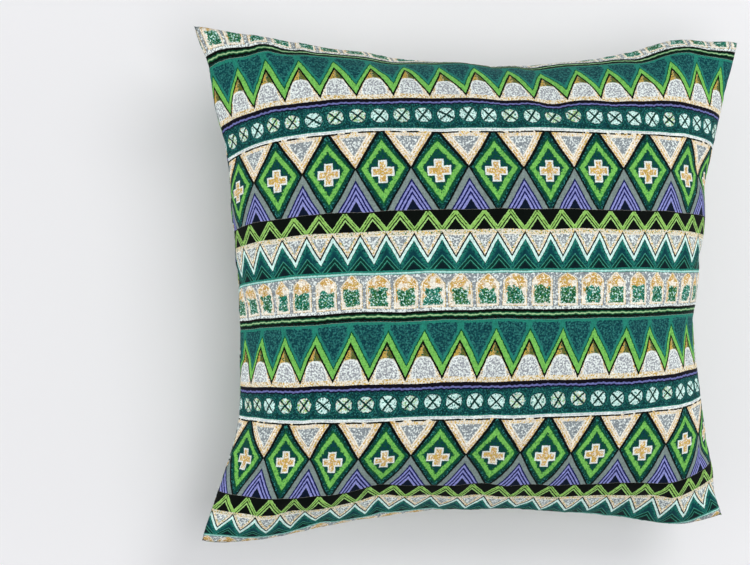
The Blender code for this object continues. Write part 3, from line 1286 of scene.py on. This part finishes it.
@dataclass(frozen=True)
class Filling:
    """The push of the filling, which settles the cloth and puckers it along the seam."""

    cells: int = 80                 # cells along each side of a panel while it settles
    frames: int = 32
    tension: float = 15.0
    compression: float = 0.6
    shear: float = 1.5
    bending: float = 0.6
    mass: float = 0.3
    damping: float = 5.0
    bend_damping: float = 0.5
    air_drag: float = 3.0
    firmness: float = 30.0
    quality: int = 6
    spare_volume: float = 1.01      # fullness that the filling aims for
    seam_shrink: float = 0.02       # how much the seam's thread draws the cloth up
    slow_reach: float = 0.022       # wider movements than this leave the form as it is
    free_height: float = 0.008      # height over which the pressed underside comes free
    shrink_reach: float = 0.03
    cap: float = 0.004              # furthest that any point may move
    held_height: float = 0.0006     # the underside below this height stays as it is pressed
    least_weight: float = 0.01      # points with less than this stay out of a group

    def settle(self, front: np.ndarray, back: np.ndarray) -> Grids:
        """Let the filling push the two panels out.

        Args:
            front: Places of the front panel's points.
            back: Places of the back panel's points.

        Returns:
            The two panels' settled places.
        """
        count = self.cells + 1
        shares = np.linspace(-1, 1, count)
        seam = np.minimum(1 - np.abs(shares)[None, :], 1 - np.abs(shares)[:, None])
        piece, index = joined_panels("settling", front, back)
        start = read_points(piece.data)
        pull = np.zeros(len(start))
        for side in index:
            pull[side] = np.exp(-seam / self.shrink_reach / 2)
        self.tie(piece, "held", (start[:, 2] < self.held_height).astype(float))
        self.tie(piece, "drawn", pull)
        self.add_cloth(piece, enclosed_volume(piece.data) * self.spare_volume)
        scene = bpy.context.scene
        for number in range(1, self.frames + 1):
            scene.frame_set(number)
        moved = read_points(piece.evaluated_get(bpy.context.evaluated_depsgraph_get()).data)
        scene.frame_set(1)
        bpy.data.objects.remove(piece, do_unlink=True)
        change = moved - start
        change -= self.slow_part(change, index, max(np.ptp(start[:, :2], axis=0)))
        change *= np.clip((start[:, 2] - self.held_height) / self.free_height, 0, 1)[:, None]
        for grid in index:
            change[grid] *= (1 - np.abs(np.outer(shares, shares)) ** 4)[:, :, None]
        size = np.linalg.norm(change, axis=1, keepdims=True)
        change *= self.cap * np.tanh(size / self.cap) / np.maximum(size, 1e-9)
        settled = start + change
        settled[:, 2] = np.maximum(settled[:, 2], 0.0)
        LOG.info("filling: cloth moved %.1f mm at most", size.max() / MM)
        return settled[index[0]], settled[index[1]]

    def slow_part(self, change: np.ndarray, index: Grids, span: float) -> np.ndarray:
        """Smooth part of a movement, which would change the cushion's outline.

        Args:
            change: Movement of each point.
            index: Each panel's grid of point numbers.
            span: Width of the panels, in metres.

        Returns:
            The smooth part for each point.
        """
        steps = np.arange(self.cells + 1) * span / self.cells
        weights = np.exp(-((steps[:, None] - steps[None, :]) / self.slow_reach) ** 2)
        weights /= weights.sum(1, keepdims=True)
        slow = np.zeros_like(change)
        panels = np.zeros((len(change), 1))
        for grid in index:
            slow[grid] += read_between(change[grid], weights, weights)
            panels[grid] += 1
        return slow / panels

    def tie(self, piece: bpy.types.Object, name: str, weights: np.ndarray) -> None:
        """Give the piece a vertex group.

        Args:
            piece: The closed cover.
            name: The group's name.
            weights: Each point's weight.
        """
        group = piece.vertex_groups.new(name=name)
        for number, weight in enumerate(weights):
            if weight > self.least_weight:
                group.add([number], float(weight), "REPLACE")

    def add_cloth(self, piece: bpy.types.Object, volume: float) -> None:
        """Set the piece up as pressed cloth.

        Args:
            piece: The closed cover.
            volume: What the filling takes up, in cubic metres.
        """
        cloth = piece.modifiers.new("cloth", "CLOTH")
        cloth.point_cache.frame_end = self.frames
        bpy.context.scene.frame_end = self.frames
        cloth.collision_settings.use_collision = False
        cloth.collision_settings.use_self_collision = False
        settings = cloth.settings
        settings.quality = self.quality
        settings.mass = self.mass
        settings.tension_stiffness = self.tension
        settings.compression_stiffness = self.compression
        settings.shear_stiffness = self.shear
        settings.bending_stiffness = self.bending
        settings.tension_damping = self.damping
        settings.compression_damping = self.damping
        settings.shear_damping = self.damping
        settings.bending_damping = self.bend_damping
        settings.air_damping = self.air_drag
        settings.use_pressure = True
        settings.uniform_pressure_force = 0
        settings.use_pressure_volume = True
        settings.target_volume = volume
        settings.pressure_factor = self.firmness
        settings.vertex_group_mass = "held"
        settings.vertex_group_shrink = "drawn"
        settings.shrink_min = 0.0
        settings.shrink_max = self.seam_shrink
        settings.effector_weights.gravity = 0


def read_points(mesh: bpy.types.Mesh, what: str = "co") -> np.ndarray:
    """Read what a mesh's points have.

    Args:
        mesh: The mesh.
        what: "co" for their places or "normal" for the way that they face.

    Returns:
        X, y and z for each point.
    """
    values = np.empty(len(mesh.vertices) * 3)
    mesh.vertices.foreach_get(what, values)
    return values.reshape(-1, 3)


def cell_corners(grid: np.ndarray) -> np.ndarray:
    """What a grid holds at the four corners of each of its cells, in turn."""
    return np.stack([grid[:-1, :-1], grid[:-1, 1:], grid[1:, 1:], grid[1:, :-1]], 2)


def read_between(grid: np.ndarray, up: np.ndarray, across: np.ndarray) -> np.ndarray:
    """Read a grid of places through weights for its rows and for its columns."""
    return np.einsum("ri,ijk,cj->rck", up, grid, across)


def put_in_scene(name: str, data: bpy.types.ID) -> bpy.types.Object:
    """Make an object of a mesh, light or camera, and put it in the scene.

    Args:
        name: The object's name.
        data: What it shows.

    Returns:
        The object.
    """
    made = bpy.data.objects.new(name, data)
    bpy.context.scene.collection.objects.link(made)
    return made


def enclosed_volume(mesh: bpy.types.Mesh) -> float:
    """Volume inside a closed mesh of four-sided faces.

    Args:
        mesh: The mesh.

    Returns:
        The volume, in cubic metres.
    """
    places = read_points(mesh)
    corners = np.array([face.vertices[:] for face in mesh.polygons])
    total = 0.0
    for second, third in ((1, 2), (2, 3)):
        a, b, c = places[corners[:, 0]], places[corners[:, second]], places[corners[:, third]]
        total += float((a * np.cross(b, c)).sum()) / 6
    return total


def joined_panels(
    name: str, front: np.ndarray, back: np.ndarray
) -> tuple[bpy.types.Object, Grids]:
    """Sew two panels' grids together along their rims.

    Args:
        name: Name of the new object.
        front: Places of the front panel's points.
        back: Places of the back panel's points, whose rim is the front's.

    Returns:
        The object, and for each panel the number of each grid point's vertex.
    """
    rows, columns = front.shape[:2]
    front_index = np.arange(rows * columns).reshape(rows, columns)
    back_index = front_index.copy()
    inner = (rows - 2) * (columns - 2)
    back_index[1:-1, 1:-1] = rows * columns + np.arange(inner).reshape(rows - 2, columns - 2)
    places = np.concatenate([front.reshape(-1, 3), back[1:-1, 1:-1].reshape(-1, 3)])
    faces = []
    for index, outward in ((front_index, 1), (back_index, -1)):
        faces.append(cell_corners(index).reshape(-1, 4)[:, ::outward])
    mesh = bpy.data.meshes.new(name)
    mesh.from_pydata(places.tolist(), [], np.concatenate(faces).tolist())
    mesh.update()
    return put_in_scene(name, mesh), (front_index, back_index)


def curve_weights(count: int, targets: np.ndarray) -> np.ndarray:
    """Weights that read a smooth curve between evenly spaced values.

    Args:
        count: How many values there are, from share -1 to share 1.
        targets: The shares at which the curve is read.

    Returns:
        One row of weights for each target.
    """
    place = (targets + 1) / 2 * (count - 1)
    first = np.clip(np.floor(place).astype(int), 0, count - 2)
    t = place - first
    parts = (
        -0.5 * t + t ** 2 - 0.5 * t ** 3,
        1 - 2.5 * t ** 2 + 1.5 * t ** 3,
        0.5 * t + 2 * t ** 2 - 1.5 * t ** 3,
        -0.5 * t ** 2 + 0.5 * t ** 3,
    )
    weights = np.zeros((len(targets), count + 2))
    for step, part in enumerate(parts):
        weights[np.arange(len(targets)), first + step] += part
    # A value past each end carries on in a straight line
    weights[:, 1] += 2 * weights[:, 0]
    weights[:, 2] -= weights[:, 0]
    weights[:, -2] += 2 * weights[:, -1]
    weights[:, -3] -= weights[:, -1]
    return weights[:, 1:-1]


@dataclass(frozen=True)
class Pull:
    """A smooth pull of the cloth, which grows with powers of the shares of the panel."""

    size: float             # mm at the panel's far corner
    across: int
    up: int

    def at(self, across: np.ndarray, up: np.ndarray) -> np.ndarray:
        """How far the print is pulled at places on the panel."""
        return self.size * across ** self.across * up ** self.up


@dataclass(frozen=True)
class Tug:
    """A tug of the print in one place, where a corner or a side gathers the cloth."""

    across: float           # the place, in shares of the panel
    up: float
    reach_across: float
    reach_up: float
    size: float             # mm

    def at(self, across: np.ndarray, up: np.ndarray) -> np.ndarray:
        """How far the print is tugged.

        Args:
            across: Shares across the panel.
            up: Shares up the panel.

        Returns:
            The distances, in mm.
        """
        beside = (across - self.across) / self.reach_across
        along = (up - self.up) / self.reach_up
        return self.size * np.exp(-beside ** 2 - along ** 2)


@dataclass
class Cover:
    """The printed cover: two panels, puffed by the filling and joined by one plain seam."""

    form: FilledForm = FilledForm()
    filling: Filling = Filling()
    finish: PrintedCotton = PrintedCotton()
    step: float = 0.0031            # spacing of the finished mesh's points
    seam_steps: tuple[float, ...] = (0.0, 0.0004, 0.0009, 0.0015, 0.0023, 0.0034, 0.0050, 0.0072)
    groove_depth: float = 0.0016    # how far the seam line lies in between the two panels
    groove_width: float = 0.0013
    pucker_depth: float = 0.00045
    pucker_reach: float = 0.011
    pucker_runs: tuple[float, ...] = (0.0061, 0.0083, 0.0127, 0.0190)
    pucker_drift: float = 0.031     # run over which their spacing changes
    crumple_depth: float = 0.0011   # soft unevenness left by folding and filling
    crumple_size: float = 0.030
    # A pull's size, then its powers across and up
    pulls_across: tuple[Pull, ...] = (
        Pull(-1.2, 0, 0), Pull(-6.5, 1, 0), Pull(1.0, 2, 0), Pull(14.3, 3, 0), Pull(1.2, 0, 1),
        Pull(1.7, 2, 1), Pull(4.9, 0, 2), Pull(-4.4, 1, 2), Pull(3.2, 0, 3),
    )
    pulls_up: tuple[Pull, ...] = (
        Pull(3.0, 0, 0), Pull(0.8, 1, 0), Pull(3.0, 2, 0), Pull(-5.3, 3, 0), Pull(-0.3, 0, 1),
        Pull(-2.5, 1, 1), Pull(5.3, 2, 1), Pull(-4.5, 0, 2), Pull(-2.9, 1, 2), Pull(3.6, 0, 3),
        Pull(3.2, 2, 5),
    )
    # A tug's place across and up, its reach across and up, then its size
    tugs_up: tuple[Tug, ...] = (
        Tug(-0.82, 0.98, 0.20, 0.13, -8.0),
        Tug(-0.40, 0.95, 0.18, 0.18, 8.0),
        Tug(0.60, 0.97, 0.28, 0.28, 5.0),
        Tug(-0.60, -1.00, 0.55, 0.06, -11.0),
        Tug(-1.00, -1.00, 0.18, 0.10, -9.0),
        Tug(-0.32, -0.96, 0.25, 0.20, -14.0),
        Tug(0.45, -0.92, 0.18, 0.16, -8.0),
        Tug(1.00, -1.00, 0.16, 0.14, -5.0),
    )
    back_shift: tuple[float, float] = (31.0, 37.0)      # mm, the back is cut from another place

    def shares(self, cut: float) -> np.ndarray:
        """Shares at which the finished mesh has points, which crowd towards the seam.

        Args:
            cut: The panel's size along this way, in metres.

        Returns:
            The shares, from -1 to 1.
        """
        near = np.array(self.seam_steps) / (cut / 2)
        count = round((cut - 2 * self.seam_steps[-1]) / self.step)
        middle = np.linspace(-1 + near[-1], 1 - near[-1], count + 1)
        return np.concatenate([near[:-1] - 1, middle, 1 - near[-2::-1]])

    def panels(self) -> Grids:
        """Lay out both panels on the filling's even grid and let them settle.

        Returns:
            Places of the front panel's points and of the back panel's.
        """
        shares = np.linspace(-1, 1, self.filling.cells + 1)
        across, up = np.meshgrid(shares, shares)
        front = self.form.place(across, up, True)
        back = self.form.place(across, up, False)
        rim = np.maximum(np.abs(across), np.abs(up)) == 1
        back[rim] = front[rim]
        middle = (front[..., :2].min((0, 1)) + front[..., :2].max((0, 1))) / 2
        packed = (np.array(CAD_BOX[0][:2]) + np.array(CAD_BOX[1][:2])) / 2
        for panel in (front, back):
            panel[..., :2] += packed - middle
        return self.filling.settle(front, back)

    def build(self) -> bpy.types.Object:
        """Make the finished cover and dress it.

        Returns:
            The cover's object.
        """
        front, back = self.panels()
        wide, tall = self.shares(self.form.cut_wide), self.shares(self.form.cut_tall)
        across_weights = curve_weights(self.filling.cells + 1, wide)
        up_weights = curve_weights(self.filling.cells + 1, tall)
        fine = (read_between(panel, up_weights, across_weights) for panel in (front, back))
        piece, index = joined_panels("filled_cover", *fine)
        across, up = np.meshgrid(wide, tall)
        gap = self.seam_gap(across, up)
        self.shape_seam(piece.data, index, across, up, gap)
        self.lay_print(piece.data, across, up)
        self.mark(piece.data, index, gap)
        piece.data.shade_smooth()
        piece.data.materials.append(self.finish.material())
        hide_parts("cushion_cover")
        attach(piece, "root")
        return piece

    def seam_gap(self, across: np.ndarray, up: np.ndarray) -> np.ndarray:
        """Distance from the seam along the cloth.

        Args:
            across: Shares across the panel.
            up: Shares up the panel.

        Returns:
            The distances, in metres.
        """
        beside = (1 - np.abs(across)) * self.form.cut_wide / 2
        along = (1 - np.abs(up)) * self.form.cut_tall / 2
        return np.minimum(beside, along)

    def shape_seam(
        self, mesh: bpy.types.Mesh, index: Grids, across: np.ndarray, up: np.ndarray,
        gap: np.ndarray
    ) -> None:
        """Sink the seam line between the panels and pucker the cloth beside it.

        Args:
            mesh: The joined panels.
            index: Each panel's grid of vertex numbers.
            across: Shares across the panel.
            up: Shares up the panel.
            gap: Distance from the seam, in metres.
        """
        places = read_points(mesh)
        normals = read_points(mesh, "normal")
        sink = np.zeros(len(places))
        for side, grid in enumerate(index):
            groove = self.groove_depth * np.exp(-(gap / self.groove_width) ** 2)
            sink[grid] = groove + self.puckers(across, up, gap, side)
        sink += self.crumple(places) * np.clip(places[:, 2] / self.crumple_size, 0, 1)
        places -= normals * sink[:, None]
        places[:, 2] = np.maximum(places[:, 2], 0.0)
        mesh.vertices.foreach_set("co", places.ravel())
        mesh.update()

    def crumple(self, places: np.ndarray) -> np.ndarray:
        """Depth of the cloth's soft unevenness at each place, in metres."""
        bumps = [noise.noise(Vector(place) / self.crumple_size) for place in places.tolist()]
        return self.crumple_depth * np.array(bumps)

    def puckers(
        self, across: np.ndarray, up: np.ndarray, gap: np.ndarray, side: int
    ) -> np.ndarray:
        """Depth of the short puckers that the thread pulls into the cloth.

        Args:
            across: Shares across the panel.
            up: Shares up the panel.
            gap: Distance from the seam, in metres.
            side: 0 on the front panel and 1 on the back.

        Returns:
            The depths, in metres.
        """
        wide = self.form.cut_wide
        tall = self.form.cut_tall
        along_side = (1 - np.abs(across)) * wide < (1 - np.abs(up)) * tall
        run = np.where(along_side, up * tall / 2, across * wide / 2)
        # Each seam starts its waves at a place of its own, and so does each panel
        turn = np.where(along_side, np.sign(across) * 3.1, np.sign(up) * 7.7) + side * 1.3
        waves = 0.0
        for number, length in enumerate(self.pucker_runs):
            drift = 2.0 * np.sin(run / self.pucker_drift + number * 2.1 + turn)
            phase = turn * (number + 1) + drift
            waves = waves + np.sin(2 * pi * run / length + phase) / len(self.pucker_runs)
        corner = np.clip(1 - np.maximum(np.abs(across), np.abs(up)), 0, 1)
        fade = (1 - np.abs(across * up) ** 6) * (1 + corner)
        return self.pucker_depth * waves * fade * np.exp(-gap / self.pucker_reach)

    def lay_print(self, mesh: bpy.types.Mesh, across: np.ndarray, up: np.ndarray) -> None:
        """Give each corner of each face its place on the flat printed cloth.

        Args:
            mesh: The joined panels, the front's faces first.
            across: Shares across the panel.
            up: Shares up the panel.
        """
        x = across * self.form.cut_wide / 2 / MM
        y = up * self.form.cut_tall / 2 / MM
        front_x = x + sum(pull.at(across, up) for pull in self.pulls_across)
        front_y = y + sum(pull.at(across, up) for pull in (*self.pulls_up, *self.tugs_up))
        places = []
        for plan_x, plan_y, outward in (
            (front_x, front_y, 1),
            (self.back_shift[0] - x, y + self.back_shift[1], -1),
        ):
            plan = np.stack([plan_x, plan_y], -1)
            ring = cell_corners(plan).reshape(-1, 4, 2)
            places.append(ring[:, ::outward].reshape(-1, 2))
        layer = mesh.uv_layers.new(name=CLOTH_PLAN)
        layer.uv.foreach_set("vector", np.concatenate(places).astype(np.float32).ravel())

    def mark(self, mesh: bpy.types.Mesh, index: Grids, gap: np.ndarray) -> None:
        """Store each point's distance from the seam, in millimetres.

        Args:
            mesh: The joined panels.
            index: Each panel's grid of vertex numbers.
            gap: Distance from the seam, in metres.
        """
        distance = np.zeros(len(mesh.vertices), np.float32)
        for grid in index:
            distance[grid] = gap / MM
        mesh.attributes.new(SEAM_GAP, "FLOAT", "POINT").data.foreach_set("value", distance)


@dataclass(frozen=True)
class AreaLight:
    """One soft panel of light, aimed at the cushion."""

    name: str
    place: tuple[float, float, float]
    size: float
    power: float
    aim_height: float = 0.07        # it is aimed at this height in the cushion's middle

    def hang(self) -> None:
        """Put the light in the scene."""
        data = bpy.data.lights.new(self.name, "AREA")
        data.shape = "DISK"
        data.size = self.size
        data.energy = self.power
        light = put_in_scene(self.name, data)
        light.location = self.place
        aim = Vector((0.0, 0.0, self.aim_height)) - Vector(self.place)
        light.rotation_euler = aim.to_track_quat("-Z", "Y").to_euler()


@dataclass
class Studio:
    """A plain pale floor, soft light and the camera at the photo's angle."""

    floor_half: float = 4.0
    floor_tone: tuple[float, float, float] = (0.96, 0.95, 0.96)
    floor_roughness: float = 0.7
    floor_specular: float = 0.2
    sky: tuple[float, float, float] = (0.95, 0.97, 1.0)
    sky_strength: float = 0.45
    lights: tuple[AreaLight, ...] = (
        AreaLight("window_light", (-2.0, -0.1, 0.65), 1.2, 12.0),
        AreaLight("far_window", (2.0, 0.0, 0.65), 1.2, 6.0),
        AreaLight("key_light", (0.9, 0.9, 1.8), 1.2, 12.0),
        AreaLight("front_light", (0.2, -0.4, 2.2), 1.4, 11.0),
    )
    view_place: tuple[float, float, float] = (-0.2674, -0.0907, 1.508)
    view_turn: tuple[float, float, float] = (3.81, -7.34, -1.58)
    lens: float = 88.7
    near_clip: float = 0.05

    def build(self) -> None:
        """Set up the floor, lights and camera."""
        self.lay_floor()
        for light in self.lights:
            light.hang()
        world = bpy.data.worlds.new("studio")
        world.use_nodes = True
        backdrop = world.node_tree.nodes["Background"]
        backdrop.inputs["Color"].default_value = (*self.sky, 1.0)
        backdrop.inputs["Strength"].default_value = self.sky_strength
        bpy.context.scene.world = world
        bpy.context.scene.view_settings.view_transform = "Standard"
        self.place_camera()

    def lay_floor(self) -> None:
        """Lay the floor at height 0."""
        half = self.floor_half
        mesh = bpy.data.meshes.new("floor")
        corners = [(-half, -half, 0), (half, -half, 0), (half, half, 0), (-half, half, 0)]
        mesh.from_pydata(corners, [], [(0, 1, 2, 3)])
        finish = bpy.data.materials.new("pale_floor")
        finish.use_nodes = True
        shader = finish.node_tree.nodes["Principled BSDF"]
        shader.inputs["Base Color"].default_value = (*self.floor_tone, 1.0)
        shader.inputs["Roughness"].default_value = self.floor_roughness
        shader.inputs["Specular IOR Level"].default_value = self.floor_specular
        mesh.materials.append(finish)
        floor = put_in_scene("floor", mesh)

    def place_camera(self) -> None:
        """Put the camera where the photo was taken from, as seen from the cushion."""
        data = bpy.data.cameras.new("camera")
        data.lens = self.lens
        data.clip_start = self.near_clip
        camera = put_in_scene("camera", data)
        camera.location = self.view_place
        camera.rotation_euler = [radians(turn) for turn in self.view_turn]
        bpy.context.scene.camera = camera


def main() -> None:
    """Build the cushion and its studio."""
    logging.basicConfig(level=logging.INFO, format="%(message)s")
    cover = Cover().build()
    LOG.info("%s: %d points", cover.name, len(cover.data.vertices))
    studio = Studio()
    studio.build()
    LOG.info("studio: %d lights, lens of %.1f mm", len(studio.lights), studio.lens)


if __name__ == "__main__":
    main()
